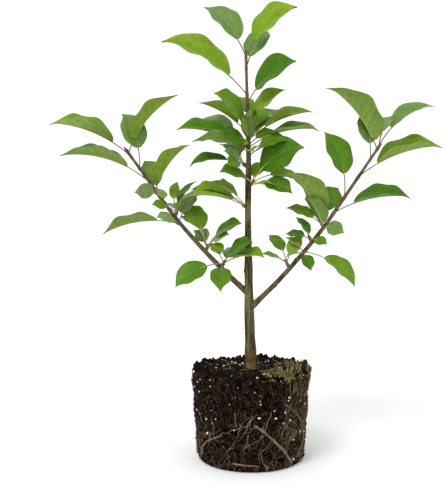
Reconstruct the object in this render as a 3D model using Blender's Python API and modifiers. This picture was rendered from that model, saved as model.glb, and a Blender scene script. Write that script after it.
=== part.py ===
"""A young crabapple tree that stands on its bare root ball.

Metres, +Z up. The tree is fan-shaped: X runs across the fan and -Y is its front. The origin is
the middle of the root ball's flat underside. Bearings are in degrees, 0 along +X and 90 along
+Y, the far side. Lifts are in degrees above the level.
"""

import math
import random

import bmesh
import bpy
from mathutils import Vector, noise

MM = 0.001
GAP = 0.3 * MM  # left between pieces that touch

# The root ball is the plug that a 150 mm nursery pot leaves.
BALL_HEIGHT = 115 * MM
BALL_TOP_RADIUS = 73.5 * MM
BALL_FOOT_RADIUS = 66 * MM
TOP_EDGE, FOOT_EDGE = 3.5 * MM, 4 * MM  # rounding of its two rims
BALL_STEPS = 44
LUMP_HEIGHT = 2.2 * MM
LUMP_SPACING = 24 * MM
LUMP_FADE = 12 * MM  # over which the lumps fade out towards the foot and the footing
FOOTING_RADIUS = 15 * MM  # level soil that the trunk stands on
TOP_FALL = 0.055  # slope of the soil towards the back
TOP_RINGS = (15, 28, 42, 55)  # radii of the rings of points on the top
SIDE_RINGS = 8

# The main roots on the side of the ball: bearing and height where each starts and ends, the
# degrees that it bows aside in between, and its radius where it starts.
SURFACE_ROOTS = (
    ((317, 6), (272, 59), 4, 1.6),
    ((327, 10), (303, 82), 20, 1.1),
    ((250, 11), (277, 9), -2, 1.2),
    ((205, 12), (238, 44), -8, 1.4),
    ((118, 20), (150, 78), 9, 1.7),
    ((18, 16), (60, 62), -8, 1.4),
)
ROOT_TAPER = 0.45  # share of its radius that a root loses
ROOT_STEPS, ROOT_SIDES = 8, 6

# Limbs run from foot to tip along a shallow bow. All are in millimetres.
TRUNK_FOOT, TRUNK_TIP, TRUNK_BOW = (0, 0, 115), (-3.6, 2, 376), (-1.8, 0, 0)
LEFT_FOOT, LEFT_TIP, LEFT_BOW = (-2, 0, 207.6), (-98, 20, 306), (-1, -2, -3)
RIGHT_FOOT, RIGHT_TIP, RIGHT_BOW = (-2, 0, 190), (91, -14, 298), (2.2, 2, -3.1)

# Radius of each limb along its length, as (share, millimetres). The trunk flares at its foot
# and swells at the forks.
TRUNK_RADII = ((0, 6.9), (0.035, 6.5), (0.077, 7.7), (0.12, 6.4), (0.23, 6.2), (0.3, 6.0), (0.36, 5.3),
               (0.42, 5.0), (0.48, 5.3), (0.53, 4.7), (0.6, 4.2), (0.75, 3.7), (0.88, 3.9), (1, 3.0))
LEFT_RADII = ((0, 4.4), (0.13, 3.5), (0.4, 3.1), (0.6, 2.8), (1, 2.4))
RIGHT_RADII = ((0, 4.5), (0.15, 3.2), (0.6, 2.7), (1, 2.4))
LIMB_SIDES, LIMB_STEPS = 12, 22
LEVEL_CUT = 2 * MM  # of the trunk's foot, which is cut level

# A leaf. Its blade's width, thickness and outline are shares of the blade's length.
WIDTH_SHARE = 0.64
THICK_SHARE, THINNEST = 0.012, 0.7 * MM
OUTLINE = ((0, 0.18), (0.13, 0.68), (0.42, 1.0), (0.74, 0.72), (1, 0.04))
DROOP = 32  # degrees that a leaf bends down over its blade's length
# Degrees that each half of a blade stands up from the midrib: more on a long blade, up to a
# limit, and less the more the leaf turns its face to the front, where it has opened.
FOLD_PER_MM, FOLD_MOST, OPEN_TURN = 0.60, 44, 110
SPREAD = 6  # degrees by which droop, fold and turn differ from leaf to leaf
BEND_STEPS = 16  # in which a blade's bend is summed up
STALK_RADIUS = 0.9 * MM
STALK_SUNK = 0.16  # share of the blade that the stalk runs on into it
STALK_STEPS = 2
STALK_SIDES = 4

# A mass of leaves grows from one stem. A shoot's stem goes on from the end of a limb or of
# another shoot, and a spur's is a stub on a limb: the limb, the share of its length, and the
# stub's bearing, lift and length. The rest is the stem's radius, the leaves, and how many
# filler leaves the far side gets. A leaf is (share of the stem, bearing, lift of the blade,
# stalk, blade, degrees that its upper side is turned to the front).
SHOOTS = {
    "leaves_leader_tip": (
        (-5, 3, 431), (-7.4, 4, 504), (2.1, 1.5),
        ((0.15, 322, 30, 23, 67, 60), (0.30, 190, 28, 33, 92, 28), (0.74, 48, 40, 16, 48, 12),
         (0.93, 147, 40, 24, 62, 20), (0.92, 340, 38, 23, 67, 44)), 0,
    ),
    "leaves_leader_ring": (
        TRUNK_TIP, (-5, 3, 431), (2.7, 2.1),
        ((0.60, 218, 39, 15, 57, 53), (0.67, 342, 40, 17, 51, 42), (0.52, 170, 27, 20, 54, 6),
         (0.20, 185, 10, 28, 66, 16), (0.32, 150, 11, 28, 54, 22), (0.13, 208, 3, 24, 58, -25),
         (0.36, 232, 4, 10, 44, 55), (0.45, 285, 62, 6, 38, 25), (0.36, 250, 60, 5, 34, 20),
         (0.40, 240, -14, 6, 26, 30),
         (0.40, 358, 18, 27, 61, 14), (0.24, 350, 7, 32, 60, 8), (0.42, 50, 23, 22, 48, 0),
         (0.12, 332, 12, 18, 38, 40), (0.28, 20, 18, 14, 28, 25), (0.04, 322, 18, 12, 32, 20),
         (0.16, 280, 0, 5, 24, 20)), 2,
    ),
    "leaves_left_tip": (
        LEFT_TIP, (-156, 34, 385), (2.4, 1.7),
        ((0.88, 182, 17, 30, 82, 2), (0.94, 351, 45, 18, 81, 2), (0.70, 142, 60, 26, 50, 36),
         (0.47, 186, 10, 36, 85, 2), (0.36, 329, 47, 10, 70, 8), (0.30, 130, 48, 12, 40, 34),
         (0.26, 222, 6, 12, 30, 90), (0.16, 250, 38, 8, 24, 0)), 0,
    ),
    "leaves_right_tip": (
        RIGHT_TIP, (151, -28, 392), (2.4, 1.6),
        ((0.97, 198, 47, 12, 90, -4), (0.98, 5, 28, 30, 58, 10), (0.84, 125, 62, 20, 40, 25),
         (1.00, 50, 40, 20, 28, 0), (0.61, 352, 16, 29, 79, 10), (0.34, 151, 61, 30, 57, 24),
         (0.14, 346, 8, 28, 69, 18)), 0,
    ),
}
SPURS = {
    "leaves_trunk_left": (
        "trunk", 0.955, (185, 40, 9), 2.0,
        ((0.80, 190, -7, 22, 48, 20), (1.0, 222, 24, 8, 28, 60), (0.90, 240, -4, 12, 28, 50),
         (0.93, 105, 14, 20, 46, 15)), 1,
    ),
    "leaves_trunk_right": (
        "trunk", 0.865, (325, 45, 9), 2.0,
        ((0.90, 334, 29, 22, 63, 76), (0.60, 324, -17, 22, 40, 30), (0.75, 8, -8, 26, 38, 25),
         (0.45, 322, -13, 16, 36, -30), (0.76, 60, 32, 10, 30, 10), (0.90, 218, 14, 12, 42, 40)), 0,
    ),
    "leaves_trunk_low": (
        "trunk", 0.765, (180, 35, 8), 1.9,
        ((0.70, 206, 12, 18, 56, 24), (0.65, 224, 27, 18, 40, 38), (0.60, 190, 4, 20, 58, -6),
         (0.74, 152, 3, 26, 54, 14)), 0,
    ),
    "leaves_left_ring": (
        "bough_left", 0.96, (60, 60, 8), 1.8,
        ((1.0, 35, 76, 17, 22, 30), (0.68, 215, 8, 18, 21, 50), (0.57, 322, 56, 6, 24, 30),
         (1.0, 320, 46, 13, 40, 6), (1.0, 25, 20, 15, 38, 8)), 1,
    ),
    "leaves_left_out": (
        "bough_left", 0.88, (215, 20, 6), 1.7,
        ((1.0, 190, -13, 26, 70, 2), (0.70, 216, 14, 8, 27, 50)), 1,
    ),
    "leaves_left_inner": (
        "bough_left", 0.56, (25, 62, 8), 1.8,
        ((0.60, 127, 36, 26, 46, 18), (0.68, 145, 22, 32, 28, 10), (0.74, 110, 22, 10, 30, 30),
         (1.0, 330, 26, 18, 42, 32), (0.90, 318, 22, 13, 28, 50), (0.87, 315, -12, 6, 24, 45)), 1,
    ),
    "leaves_left_low": (
        "bough_left", 0.36, (330, 55, 7), 1.8,
        ((1.0, 125, 26, 14, 26, 0), (1.0, 322, 31, 13, 43, 54), (0.90, 326, 7, 18, 46, 14),
         (0.42, 266, -32, 8, 42, 0), (1.0, 197, -30, 22, 48, 40)), 1,
    ),
    "leaves_right_ring": (
        "bough_right", 0.96, (140, 55, 8), 1.8,
        ((0.78, 210, 50, 11, 73, -12), (0.85, 54, 40, 16, 42, 30), (0.10, 206, 56, 5, 42, -18),
         (0.22, 170, 19, 16, 36, 28), (0.15, 312, -12, 6, 29, 62), (0.88, 115, 34, 14, 34, 0)), 1,
    ),
    "leaves_right_mid": (
        "bough_right", 0.80, (150, 60, 7), 1.7,
        ((0.75, 140, 44, 6, 28, 6), (0.50, 158, 4, 9, 25, 27), (0.50, 318, -10, 6, 20, 45)), 0,
    ),
    "leaves_right_inner": (
        "bough_right", 0.67, (300, 35, 6), 1.7,
        ((0.95, 345, -42, 26, 52, 16), (0.62, 287, -42, 6, 25, 14), (0.50, 210, -12, 6, 20, 0)), 1,
    ),
    "leaves_right_low": (
        "bough_right", 0.50, (170, 65, 8), 1.7,
        ((1.0, 140, 38, 16, 29, 20), (0.94, 30, 48, 12, 28, 40), (0.80, 185, 14, 12, 24, 10)), 0,
    ),
}
STEM_SIDES = 6

# The filler leaves. Each turns on from the last by the golden angle.
FAR_SIDE, FAR_SPREAD = 90, 48
GOLDEN_ANGLE = 137.5
FILLER_LIFT, FILLER_LIFT_SPREAD = 18, 15
FILLER_BLADE = (0.75, 1.0)  # range, as shares of the mean blade of its mass
FILLER_STALK = 0.4  # of its blade
FILLER_START = 0.6  # of the way to the next one
FILLER_CLEAR = 7 * MM  # from the axis of any limb


def clear_scene():
    for obj in list(bpy.data.objects):
        bpy.data.objects.remove(obj)


def new_collection(name):
    found = bpy.data.collections.new(name)
    bpy.context.scene.collection.children.link(found)
    return found


def principled(name, colour, roughness):
    made = bpy.data.materials.new(name)
    made.use_nodes = True
    shader = made.node_tree.nodes["Principled BSDF"]
    shader.inputs["Base Color"].default_value = (*colour, 1)
    shader.inputs["Roughness"].default_value = roughness
    shader.inputs["Metallic"].default_value = 0
    return made


def drop(obj):
    """Removes an object with its mesh or curve."""
    data = obj.data
    bpy.data.objects.remove(obj)
    {bpy.types.Mesh: bpy.data.meshes, bpy.types.Curve: bpy.data.curves}[type(data)].remove(data)


def place(mesh, name, collection):
    obj = bpy.data.objects.new(name, mesh)
    collection.objects.link(obj)
    return obj


def baked(obj):
    """A mesh object that holds obj as evaluated, welded and facing out. obj is removed."""
    graph = bpy.context.evaluated_depsgraph_get()
    mesh = bpy.data.meshes.new_from_object(obj.evaluated_get(graph))
    name, collection, matrix = obj.name, obj.users_collection[0], obj.matrix_world.copy()
    drop(obj)
    shape = bmesh.new()
    shape.from_mesh(mesh)
    bmesh.ops.remove_doubles(shape, verts=shape.verts, dist=1e-6)
    bmesh.ops.recalc_face_normals(shape, faces=shape.faces)
    shape.to_mesh(mesh)
    shape.free()
    made = place(mesh, name, collection)
    made.matrix_world = matrix
    return made


def along(table, share):
    """A value read from (share, value) pairs by straight lines between them."""
    for (a, low), (b, high) in zip(table, table[1:]):
        if share <= b:
            return low + (high - low) * (share - a) / (b - a)
    return table[-1][1]


def bowed(foot, tip, bow, share):
    """The point at a share of the way from foot to tip, in metres."""
    foot, tip, bow = (Vector(p) * MM for p in (foot, tip, bow))
    return foot.lerp(tip, share) + bow * 4 * share * (1 - share)


def heading(bearing, lift):
    flat, up = math.radians(bearing), math.radians(lift)
    return Vector((math.cos(flat) * math.cos(up), math.sin(flat) * math.cos(up), math.sin(up)))


def tube(name, points, radii, sides, collection):
    """A round limb through the points, as a mesh with flat ends."""
    curve = bpy.data.curves.new(name, "CURVE")
    curve.dimensions = "3D"
    curve.bevel_depth = 1
    curve.bevel_resolution = sides // 2 - 2
    curve.use_fill_caps = True
    spline = curve.splines.new("POLY")
    spline.points.add(len(points) - 1)
    for point, at, radius in zip(spline.points, points, radii):
        point.co = (*at, 1)
        point.radius = radius
    return baked(place(curve, name, collection))


LIMBS = {
    "trunk": (TRUNK_FOOT, TRUNK_TIP, TRUNK_BOW, TRUNK_RADII),
    "bough_left": (LEFT_FOOT, LEFT_TIP, LEFT_BOW, LEFT_RADII),
    "bough_right": (RIGHT_FOOT, RIGHT_TIP, RIGHT_BOW, RIGHT_RADII),
}


def limb(name, collection, grown=0.0):
    """One of the limbs, or a cutter of its shape that is fatter and longer by grown."""
    foot, tip, bow, table = LIMBS[name]
    shares = [i / LIMB_STEPS for i in range(LIMB_STEPS + 1)]
    points = [bowed(foot, tip, bow, share) for share in shares]
    radii = [along(table, share) * MM + grown for share in shares]
    made = tube(name, points, radii, LIMB_SIDES, collection)
    if name == "trunk":
        for vert in made.data.vertices:
            if vert.co.z < BALL_HEIGHT + LEVEL_CUT:
                vert.co.z = BALL_HEIGHT + GAP
    return made


def boolean(obj, operation, other, solver="EXACT"):
    """obj cut by an object, or joined with a collection of objects. What it used is removed."""
    modifier = obj.modifiers.new(operation, "BOOLEAN")
    modifier.operation = operation
    modifier.solver = solver
    if isinstance(other, bpy.types.Collection):
        modifier.operand_type = "COLLECTION"
        modifier.collection = other
        used = list(other.objects)
    else:
        modifier.object = other
        used = [other]
    made = baked(obj)
    for each in used:
        drop(each)
    return made


def whole(obj):
    """obj without the loose scraps and sealed hollows that fusing can leave."""
    shape = bmesh.new()
    shape.from_mesh(obj.data)
    left, islands = set(shape.faces), []
    while left:
        island, edge = set(), [left.pop()]
        while edge:
            face = edge.pop()
            island.add(face)
            for near in (other for e in face.edges for other in e.link_faces):
                if near in left:
                    left.remove(near)
                    edge.append(near)
        islands.append(island)
    largest = max(islands, key=len)
    scraps = [face for island in islands if island is not largest for face in island]
    bmesh.ops.delete(shape, geom=scraps, context="FACES")
    shape.to_mesh(obj.data)
    shape.free()
    return obj


class Leaf:
    """Where one leaf lies: a stalk and a blade on one curve that bends down evenly."""

    def __init__(self, start, setting, chance):
        _, self.bearing, self.lift, stalk, blade, shown = setting
        self.start = start
        self.blade = blade * MM
        self.stalk = stalk * MM
        self.droop = DROOP + chance.uniform(-SPREAD, SPREAD)
        self.fold = min(FOLD_MOST, FOLD_PER_MM * blade) * (1 - abs(shown) / OPEN_TURN)
        self.fold += chance.uniform(-SPREAD, SPREAD)
        self.roll = math.copysign(1, math.cos(math.radians(self.bearing))) * shown
        self.roll += chance.uniform(-SPREAD, SPREAD)

    def lift_at(self, share):
        """The slope at a share of the blade from its base; the stalk has shares below 0."""
        return self.lift + self.droop * (0.5 - share)

    def point(self, share):
        """The point on the stalk or midrib, summed up along the bend."""
        first = -self.stalk / self.blade
        steps = max(1, math.ceil((share - first) * BEND_STEPS))
        step = (share - first) / steps
        at = self.start.copy()
        for i in range(steps):
            middle = first + (i + 0.5) * step
            at += heading(self.bearing, self.lift_at(middle)) * step * self.blade
        return at

    def across(self, share):
        """The unit vectors to the blade's left edge and out of its upper side."""
        forward = heading(self.bearing, self.lift_at(share))
        left = Vector((0, 0, 1)).cross(heading(self.bearing, 0))
        up = forward.cross(left)
        turn = math.radians(self.roll)
        return (left * math.cos(turn) + up * math.sin(turn),
                up * math.cos(turn) - left * math.sin(turn))


def blade_sheet(leaf, name, collection):
    """The blade: a grid bent to the leaf's outline and fold, then thickened."""
    shape = bmesh.new()
    bmesh.ops.create_grid(shape, x_segments=2, y_segments=len(OUTLINE) - 1, size=1)
    rows = sorted({round(v.co.y, 4) for v in shape.verts})
    for vert in shape.verts:
        share, width = OUTLINE[rows.index(round(vert.co.y, 4))]
        left, up = leaf.across(share)
        fold = math.radians(leaf.fold)
        side = -vert.co.x
        reach = width * leaf.blade * WIDTH_SHARE / 2
        outward = left * side * math.cos(fold) + up * abs(side) * math.sin(fold)
        vert.co = leaf.point(share) + outward * reach
    mesh = bpy.data.meshes.new(name)
    shape.to_mesh(mesh)
    shape.free()
    sheet = place(mesh, name, collection)
    thicken = sheet.modifiers.new("thickness", "SOLIDIFY")
    thicken.thickness = max(THINNEST, THICK_SHARE * leaf.blade)
    thicken.offset = 0
    return baked(sheet)


def stalk_tube(leaf, name, collection):
    """The leaf's stalk, from the middle of its stem until it is sunk in the blade."""
    first = -leaf.stalk / leaf.blade
    shares = [first + (STALK_SUNK - first) * i / STALK_STEPS for i in range(STALK_STEPS + 1)]
    return tube(name, [leaf.point(s) for s in shares], [STALK_RADIUS] * len(shares),
                STALK_SIDES, collection)


def fillers(count, leaves, chance):
    """Settings of the leaves that fill a mass on its far side, by one seeded rule."""
    turn = chance.uniform(0, 360)
    blade = sum(leaf[4] for leaf in leaves) / len(leaves)
    found = []
    for number in range(count):
        share = (number + FILLER_START) / count
        bearing = FAR_SIDE + FAR_SPREAD * math.sin(math.radians(turn + GOLDEN_ANGLE * number))
        length = blade * chance.uniform(*FILLER_BLADE)
        lift = FILLER_LIFT + chance.uniform(-FILLER_LIFT_SPREAD, FILLER_LIFT_SPREAD)
        found.append((share, bearing, lift, length * FILLER_STALK, length, 0))
    return found


def near_limb(leaf):
    """Whether the blade's midrib comes close to a limb's axis."""
    midrib = [leaf.point(share) for share in (0, 0.25, 0.5, 0.75, 1)]
    for foot, tip, bow, _ in LIMBS.values():
        for i in range(LIMB_STEPS + 1):
            at = bowed(foot, tip, bow, i / LIMB_STEPS)
            if min((at - point).length for point in midrib) < FILLER_CLEAR:
                return True
    return False


def fused_mass(name, stem_points, stem_radii, leaves, filler_count, collection):
    """A stem with its leaves fused on, as one solid."""
    parts = new_collection(name + "_parts")
    chance = random.Random(name)
    foot, tip = stem_points
    for setting in leaves:
        leaf = Leaf(foot.lerp(tip, setting[0]), setting, chance)
        blade_sheet(leaf, name + "_blade", parts)
        stalk_tube(leaf, name + "_stalk", parts)
    for setting in fillers(filler_count, leaves, chance):
        leaf = Leaf(foot.lerp(tip, setting[0]), setting, chance)
        if not near_limb(leaf):
            blade_sheet(leaf, name + "_blade", parts)
            stalk_tube(leaf, name + "_stalk", parts)
    stem = tube(name, stem_points, stem_radii, STEM_SIDES, collection)
    made = boolean(stem, "UNION", parts, "MANIFOLD")  # EXACT leaves some of the masses open
    bpy.data.collections.remove(parts)
    return made


def shoot(name, collection):
    """A mass whose stem goes on from the end of a limb or of another stem."""
    foot, tip, (foot_radius, tip_radius), leaves, filler_count = SHOOTS[name]
    foot, tip = Vector(foot) * MM, Vector(tip) * MM
    foot += (tip - foot).normalized() * GAP
    radii = [foot_radius * MM, tip_radius * MM]
    return whole(fused_mass(name, [foot, tip], radii, leaves, filler_count, collection))


def spur(name, collection):
    """A mass whose stem is a stub on the side of a limb, cut clear of that limb."""
    limb_name, share, (bearing, lift, length), radius, leaves, filler_count = SPURS[name]
    foot, tip, bow, _ = LIMBS[limb_name]
    start = bowed(foot, tip, bow, share)
    end = start + heading(bearing, lift) * length * MM
    radii = [radius * MM, radius * MM]
    made = fused_mass(name, [start, end], radii, leaves, filler_count, collection)
    cutter = limb(limb_name, collection, grown=GAP)
    return whole(boolean(made, "DIFFERENCE", cutter))


def lumps(point):
    return LUMP_HEIGHT * noise.noise(point / LUMP_SPACING)


def settled(point):
    """The point once the soil has sunk a little towards the back, round the trunk's seat."""
    inner = min(1, max(0, math.hypot(point.x, point.y) - FOOTING_RADIUS) / LUMP_FADE)
    return Vector((point.x, point.y, point.z * (1 - inner * TOP_FALL * point.y / BALL_HEIGHT)))


def ball_radius(bearing, height):
    """How far the side of the ball is from its axis, lumps and all."""
    slope = BALL_FOOT_RADIUS + (BALL_TOP_RADIUS - BALL_FOOT_RADIUS) * height / BALL_HEIGHT
    flat = heading(bearing, 0)
    return slope + lumps(flat * slope + Vector((0, 0, height)))


def ball_profile():
    """Radius and height from the middle of the top, over both rims, to the middle of the foot."""
    top = [(0, BALL_HEIGHT)] + [(radius * MM, BALL_HEIGHT) for radius in TOP_RINGS]
    rims = []
    for turn in (90, 60, 30, 0):
        bend = math.radians(turn)
        rims.append((BALL_TOP_RADIUS - TOP_EDGE * (1 - math.cos(bend)),
                     BALL_HEIGHT - TOP_EDGE * (1 - math.sin(bend))))
    side_top, side_foot = BALL_HEIGHT - TOP_EDGE, FOOT_EDGE
    side = []
    for i in range(1, SIDE_RINGS + 1):
        height = side_top + (side_foot - side_top) * i / (SIDE_RINGS + 1)
        slope = BALL_FOOT_RADIUS + (BALL_TOP_RADIUS - BALL_FOOT_RADIUS) * height / BALL_HEIGHT
        side.append((slope, height))
    foot = []
    for turn in (0, 45, 90):
        bend = math.radians(turn)
        foot.append((BALL_FOOT_RADIUS - FOOT_EDGE * (1 - math.cos(bend)),
                     FOOT_EDGE * (1 - math.sin(bend))))
    return top + rims + side + foot + [(0, 0)]


def root_ball(collection):
    """The plug of soil: a turned body with a lumpy side and top, and its main roots."""
    profile = ball_profile()
    mesh = bpy.data.meshes.new("root_ball")
    mesh.from_pydata([(r, 0, z) for r, z in profile],
                     [(i, i + 1) for i in range(len(profile) - 1)], [])
    ball = place(mesh, "root_ball", collection)
    screw = ball.modifiers.new("turned", "SCREW")
    screw.steps = screw.render_steps = BALL_STEPS
    screw.use_merge_vertices = True
    screw.merge_threshold = 1e-5
    ball = baked(ball)
    for vert in ball.data.vertices:
        spread = math.hypot(vert.co.x, vert.co.y)
        weight = min(1, vert.co.z / LUMP_FADE)
        weight *= min(1, max(0, spread - FOOTING_RADIUS) / LUMP_FADE)
        if vert.co.z > BALL_HEIGHT - TOP_EDGE:
            vert.co.z += weight * lumps(vert.co)
        if spread > BALL_FOOT_RADIUS - LUMP_FADE and vert.co.z > 0:
            vert.co.xy *= 1 + weight * lumps(vert.co) / spread
        vert.co = settled(vert.co)
    parts = new_collection("surface_roots")
    for number, (start, end, bow, radius) in enumerate(SURFACE_ROOTS):
        points, radii = [], []
        for i in range(ROOT_STEPS + 1):
            share = i / ROOT_STEPS
            bearing = start[0] + (end[0] - start[0]) * share + bow * math.sin(math.pi * share)
            height = (start[1] + (end[1] - start[1]) * share) * MM
            side = heading(bearing, 0) * ball_radius(bearing, height)
            points.append(settled(side + Vector((0, 0, height))))
            radii.append(radius * MM * (1 - ROOT_TAPER * share))
        tube(f"surface_root_{number}", points, radii, ROOT_SIDES, parts)
    made = boolean(ball, "UNION", parts)
    bpy.data.collections.remove(parts)
    return whole(made)


def finish(obj, material):
    obj.data.materials.clear()
    obj.data.materials.append(material)
    obj.data.shade_smooth()
    obj.data.set_sharp_from_angle(angle=math.radians(40))


def main():
    clear_scene()
    tree = new_collection("crabapple_tree")
    bark = principled("bark", (0.16, 0.13, 0.07), 0.8)
    soil = principled("soil", (0.025, 0.018, 0.012), 0.95)
    leaf = principled("leaf", (0.12, 0.27, 0.04), 0.45)
    finish(root_ball(tree), soil)
    finish(limb("trunk", tree), bark)
    for name in ("bough_left", "bough_right"):
        cutter = limb("trunk", tree, grown=GAP)
        finish(whole(boolean(limb(name, tree), "DIFFERENCE", cutter)), bark)
    for name in SHOOTS:
        finish(shoot(name, tree), leaf)
    for name in SPURS:
        finish(spur(name, tree), leaf)


if __name__ == "__main__":
    main()
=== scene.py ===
# %% [markdown]
# # A young crabapple tree on its bare root ball
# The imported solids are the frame: they fix every size and place. Here each of them is dressed
# in a finer mesh that grows by the same rule as the solid, with a finish of its own.

# %% Frame
import math
import random

import bmesh
import bpy
import numpy as np
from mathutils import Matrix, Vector, noise


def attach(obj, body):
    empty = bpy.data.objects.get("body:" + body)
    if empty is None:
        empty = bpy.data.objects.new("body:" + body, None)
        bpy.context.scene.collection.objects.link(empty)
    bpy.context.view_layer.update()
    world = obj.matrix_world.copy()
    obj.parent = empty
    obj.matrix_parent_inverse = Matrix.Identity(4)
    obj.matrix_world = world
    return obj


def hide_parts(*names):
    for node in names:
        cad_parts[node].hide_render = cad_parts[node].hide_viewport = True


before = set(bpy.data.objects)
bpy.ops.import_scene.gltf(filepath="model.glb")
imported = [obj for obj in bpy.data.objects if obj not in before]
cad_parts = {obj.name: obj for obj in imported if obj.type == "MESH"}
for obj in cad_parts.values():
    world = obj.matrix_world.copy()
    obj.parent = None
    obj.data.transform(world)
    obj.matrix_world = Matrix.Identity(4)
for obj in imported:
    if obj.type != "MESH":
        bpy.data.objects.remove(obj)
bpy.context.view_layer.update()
MM = 0.001

# %% [markdown]
# The camera looks at the tree from the front and a little from above, from 1.5 m away. The
# numbers come from the photograph: 8.5 degrees of tilt is what shows the soil's top as a
# narrow ellipse.

# %% Camera
CAMERA_AT = (-0.0349, -1.5, 0.495)
CAMERA_TILT = 8.5  # degrees below the level
FOCAL_PIXELS, PHOTO_HEIGHT, SENSOR = 1232, 488, 36

lens = bpy.data.cameras.new("camera")
lens.sensor_fit = "VERTICAL"
lens.sensor_height = SENSOR
lens.lens = FOCAL_PIXELS / PHOTO_HEIGHT * SENSOR
camera = bpy.data.objects.new("camera", lens)
camera.location = CAMERA_AT
camera.rotation_euler = (math.radians(90 - CAMERA_TILT), 0, 0)
bpy.context.scene.collection.objects.link(camera)
bpy.context.scene.camera = camera
print("lens", round(lens.lens, 1), "mm")

# %% [markdown]
# Colours are written as the hex values that one reads off a screen, so one function turns
# them into the linear values that Blender computes with. A second one adds a shader node with
# its settings and links, which keeps each material short enough to read as a recipe.


# %% Colour and node helpers
def linear(code):
    """The linear colour of an sRGB hex value."""
    parts = [int(code[i:i + 2], 16) / 255 for i in (1, 3, 5)]
    return [c / 12.92 if c <= 0.04045 else ((c + 0.055) / 1.055) ** 2.4 for c in parts] + [1]


def add_node(tree, kind, settings=None, sockets=None):
    """A new node. A socket is given a value, a hex colour or another node's output."""
    made = tree.nodes.new(kind)
    for name, value in (settings or {}).items():
        setattr(made, name, value)
    for name, value in (sockets or {}).items():
        if isinstance(value, bpy.types.NodeSocket):
            tree.links.new(value, made.inputs[name])
        elif isinstance(value, str):
            made.inputs[name].default_value = linear(value)
        else:
            made.inputs[name].default_value = value
    return made


def new_material(name, roughness, specular=0.5, coat=0.0):
    """A Principled material, its node tree, its shader and the coordinates in metres."""
    made = bpy.data.materials.new(name)
    made.use_nodes = True
    tree = made.node_tree
    shader = tree.nodes["Principled BSDF"]
    shader.inputs["Roughness"].default_value = roughness
    shader.inputs["Specular IOR Level"].default_value = specular
    shader.inputs["Coat Weight"].default_value = coat
    place = add_node(tree, "ShaderNodeTexCoord").outputs["Object"]
    return made, tree, shader, place


print("white in linear light", linear("#ffffff")[0])

# %% [markdown]
# A blade is a thin waxy sheet. Its upper side is a deep green with a satin shine, and its
# underside is paler, duller and a little grey, because it has no wax and more air. One
# material for each side does that better than one for both: a folded leaf shows the two side
# by side. The veins are paler than the rest. The mesh carries how near each point lies to a
# vein, so the shader only has to mix two greens by it.


# %% Leaf finishes
LEAF_IOR = 1.45  # of the cuticle's wax
MOTTLE = 7 * MM  # patches of lighter and darker green
GRAIN = 0.9 * MM  # the network of the finest veins, drawn twice as coarse as real


def leaf_side(name, colour, vein_colour, roughness, vein_share, relief):
    """One side of a leaf: a mottled green with paler veins and a fine grain."""
    made, tree, shader, place = new_material(name, roughness, 0.14)
    shader.inputs["IOR"].default_value = LEAF_IOR
    patches = add_node(tree, "ShaderNodeTexNoise", None,
                       {"Vector": place, "Scale": 1 / MOTTLE, "Detail": 3.0})
    tone = add_node(tree, "ShaderNodeMapRange", None,
                    {"Value": patches.outputs["Fac"], "From Min": 0.3, "From Max": 0.7,
                     "To Min": 0.84, "To Max": 1.16})
    varied = add_node(tree, "ShaderNodeHueSaturation", None,
                      {"Value": tone.outputs["Result"], "Color": colour})
    near_vein = add_node(tree, "ShaderNodeAttribute", {"attribute_name": "vein_and_painted_shade"})
    amount = add_node(tree, "ShaderNodeMath", {"operation": "MULTIPLY"},
                      {0: near_vein.outputs["Fac"], 1: vein_share})
    mixed = add_node(tree, "ShaderNodeMix", {"data_type": "RGBA"},
                     {"Factor": amount.outputs["Value"], 6: varied.outputs["Color"],
                      7: vein_colour})
    grain = add_node(tree, "ShaderNodeTexVoronoi", None, {"Vector": place, "Scale": 1 / GRAIN})
    bump = add_node(tree, "ShaderNodeBump", None,
                    {"Height": grain.outputs["Distance"], "Strength": relief,
                     "Distance": 0.1 * MM})
    tree.links.new(mixed.outputs[2], shader.inputs["Base Color"])
    tree.links.new(bump.outputs["Normal"], shader.inputs["Normal"])
    return made


# The tints are the leaves' own range of greens, and also lighter and darker copies that stand in for
# light and shade on single leaves.
UPPER_GREENS = {"y": "#73941d", "f": "#61861a", "m": "#507816", "d": "#3f6a0d", "g": "#648440",
                "p": "#7c965a", "b": "#61861a"}
UNDER_GREENS = {"y": "#7c9732", "f": "#799340", "m": "#6f893a", "d": "#627e38", "g": "#7c9452",
                "p": "#8ca84f", "b": "#8ca84f"}
TINT_NAMES = {"y": "yellow", "f": "fresh", "m": "middle", "d": "deep", "g": "grey", "p": "pale",
              "b": "bright"}
leaf_sides = {}
for tint, word in TINT_NAMES.items():
    upper = leaf_side(f"waxy_leaf_{word}", UPPER_GREENS[tint], "#82a446", 0.40, 0.2, 0.3)
    under = leaf_side(f"downy_leaf_back_{word}", UNDER_GREENS[tint], "#a8bc68", 0.60, 0.3, 0.5)
    leaf_sides[tint] = (upper, under)
dry_tip = leaf_side("dry_leaf_tip", "#6b4a2a", "#7a5a34", 0.7, 0.3, 0.5)
print("leaf finishes", 2 * len(leaf_sides) + 1)

# %% [markdown]
# Bark this young is a thin smooth skin, olive where it still is green and brown where cork
# has begun. It has faint ridges that run up the stem and small pale pores, the lenticels,
# which lie across it. Noise that is stretched along Z draws the ridges, and Voronoi cells
# that are squeezed along Z draw the pores.


# %% Bark and stalk finishes
RIDGE = 2.2 * MM  # spacing of the ridges round the stem
PORE = 6 * MM  # spacing of the lenticels
COLLAR_TONES = (("#66421f", 139, 146), ("#82723a", 127, 131))  # each from a height down, mm
COLLAR_RAGGED = 16 * MM  # by how much the streaks shift those heights


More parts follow.
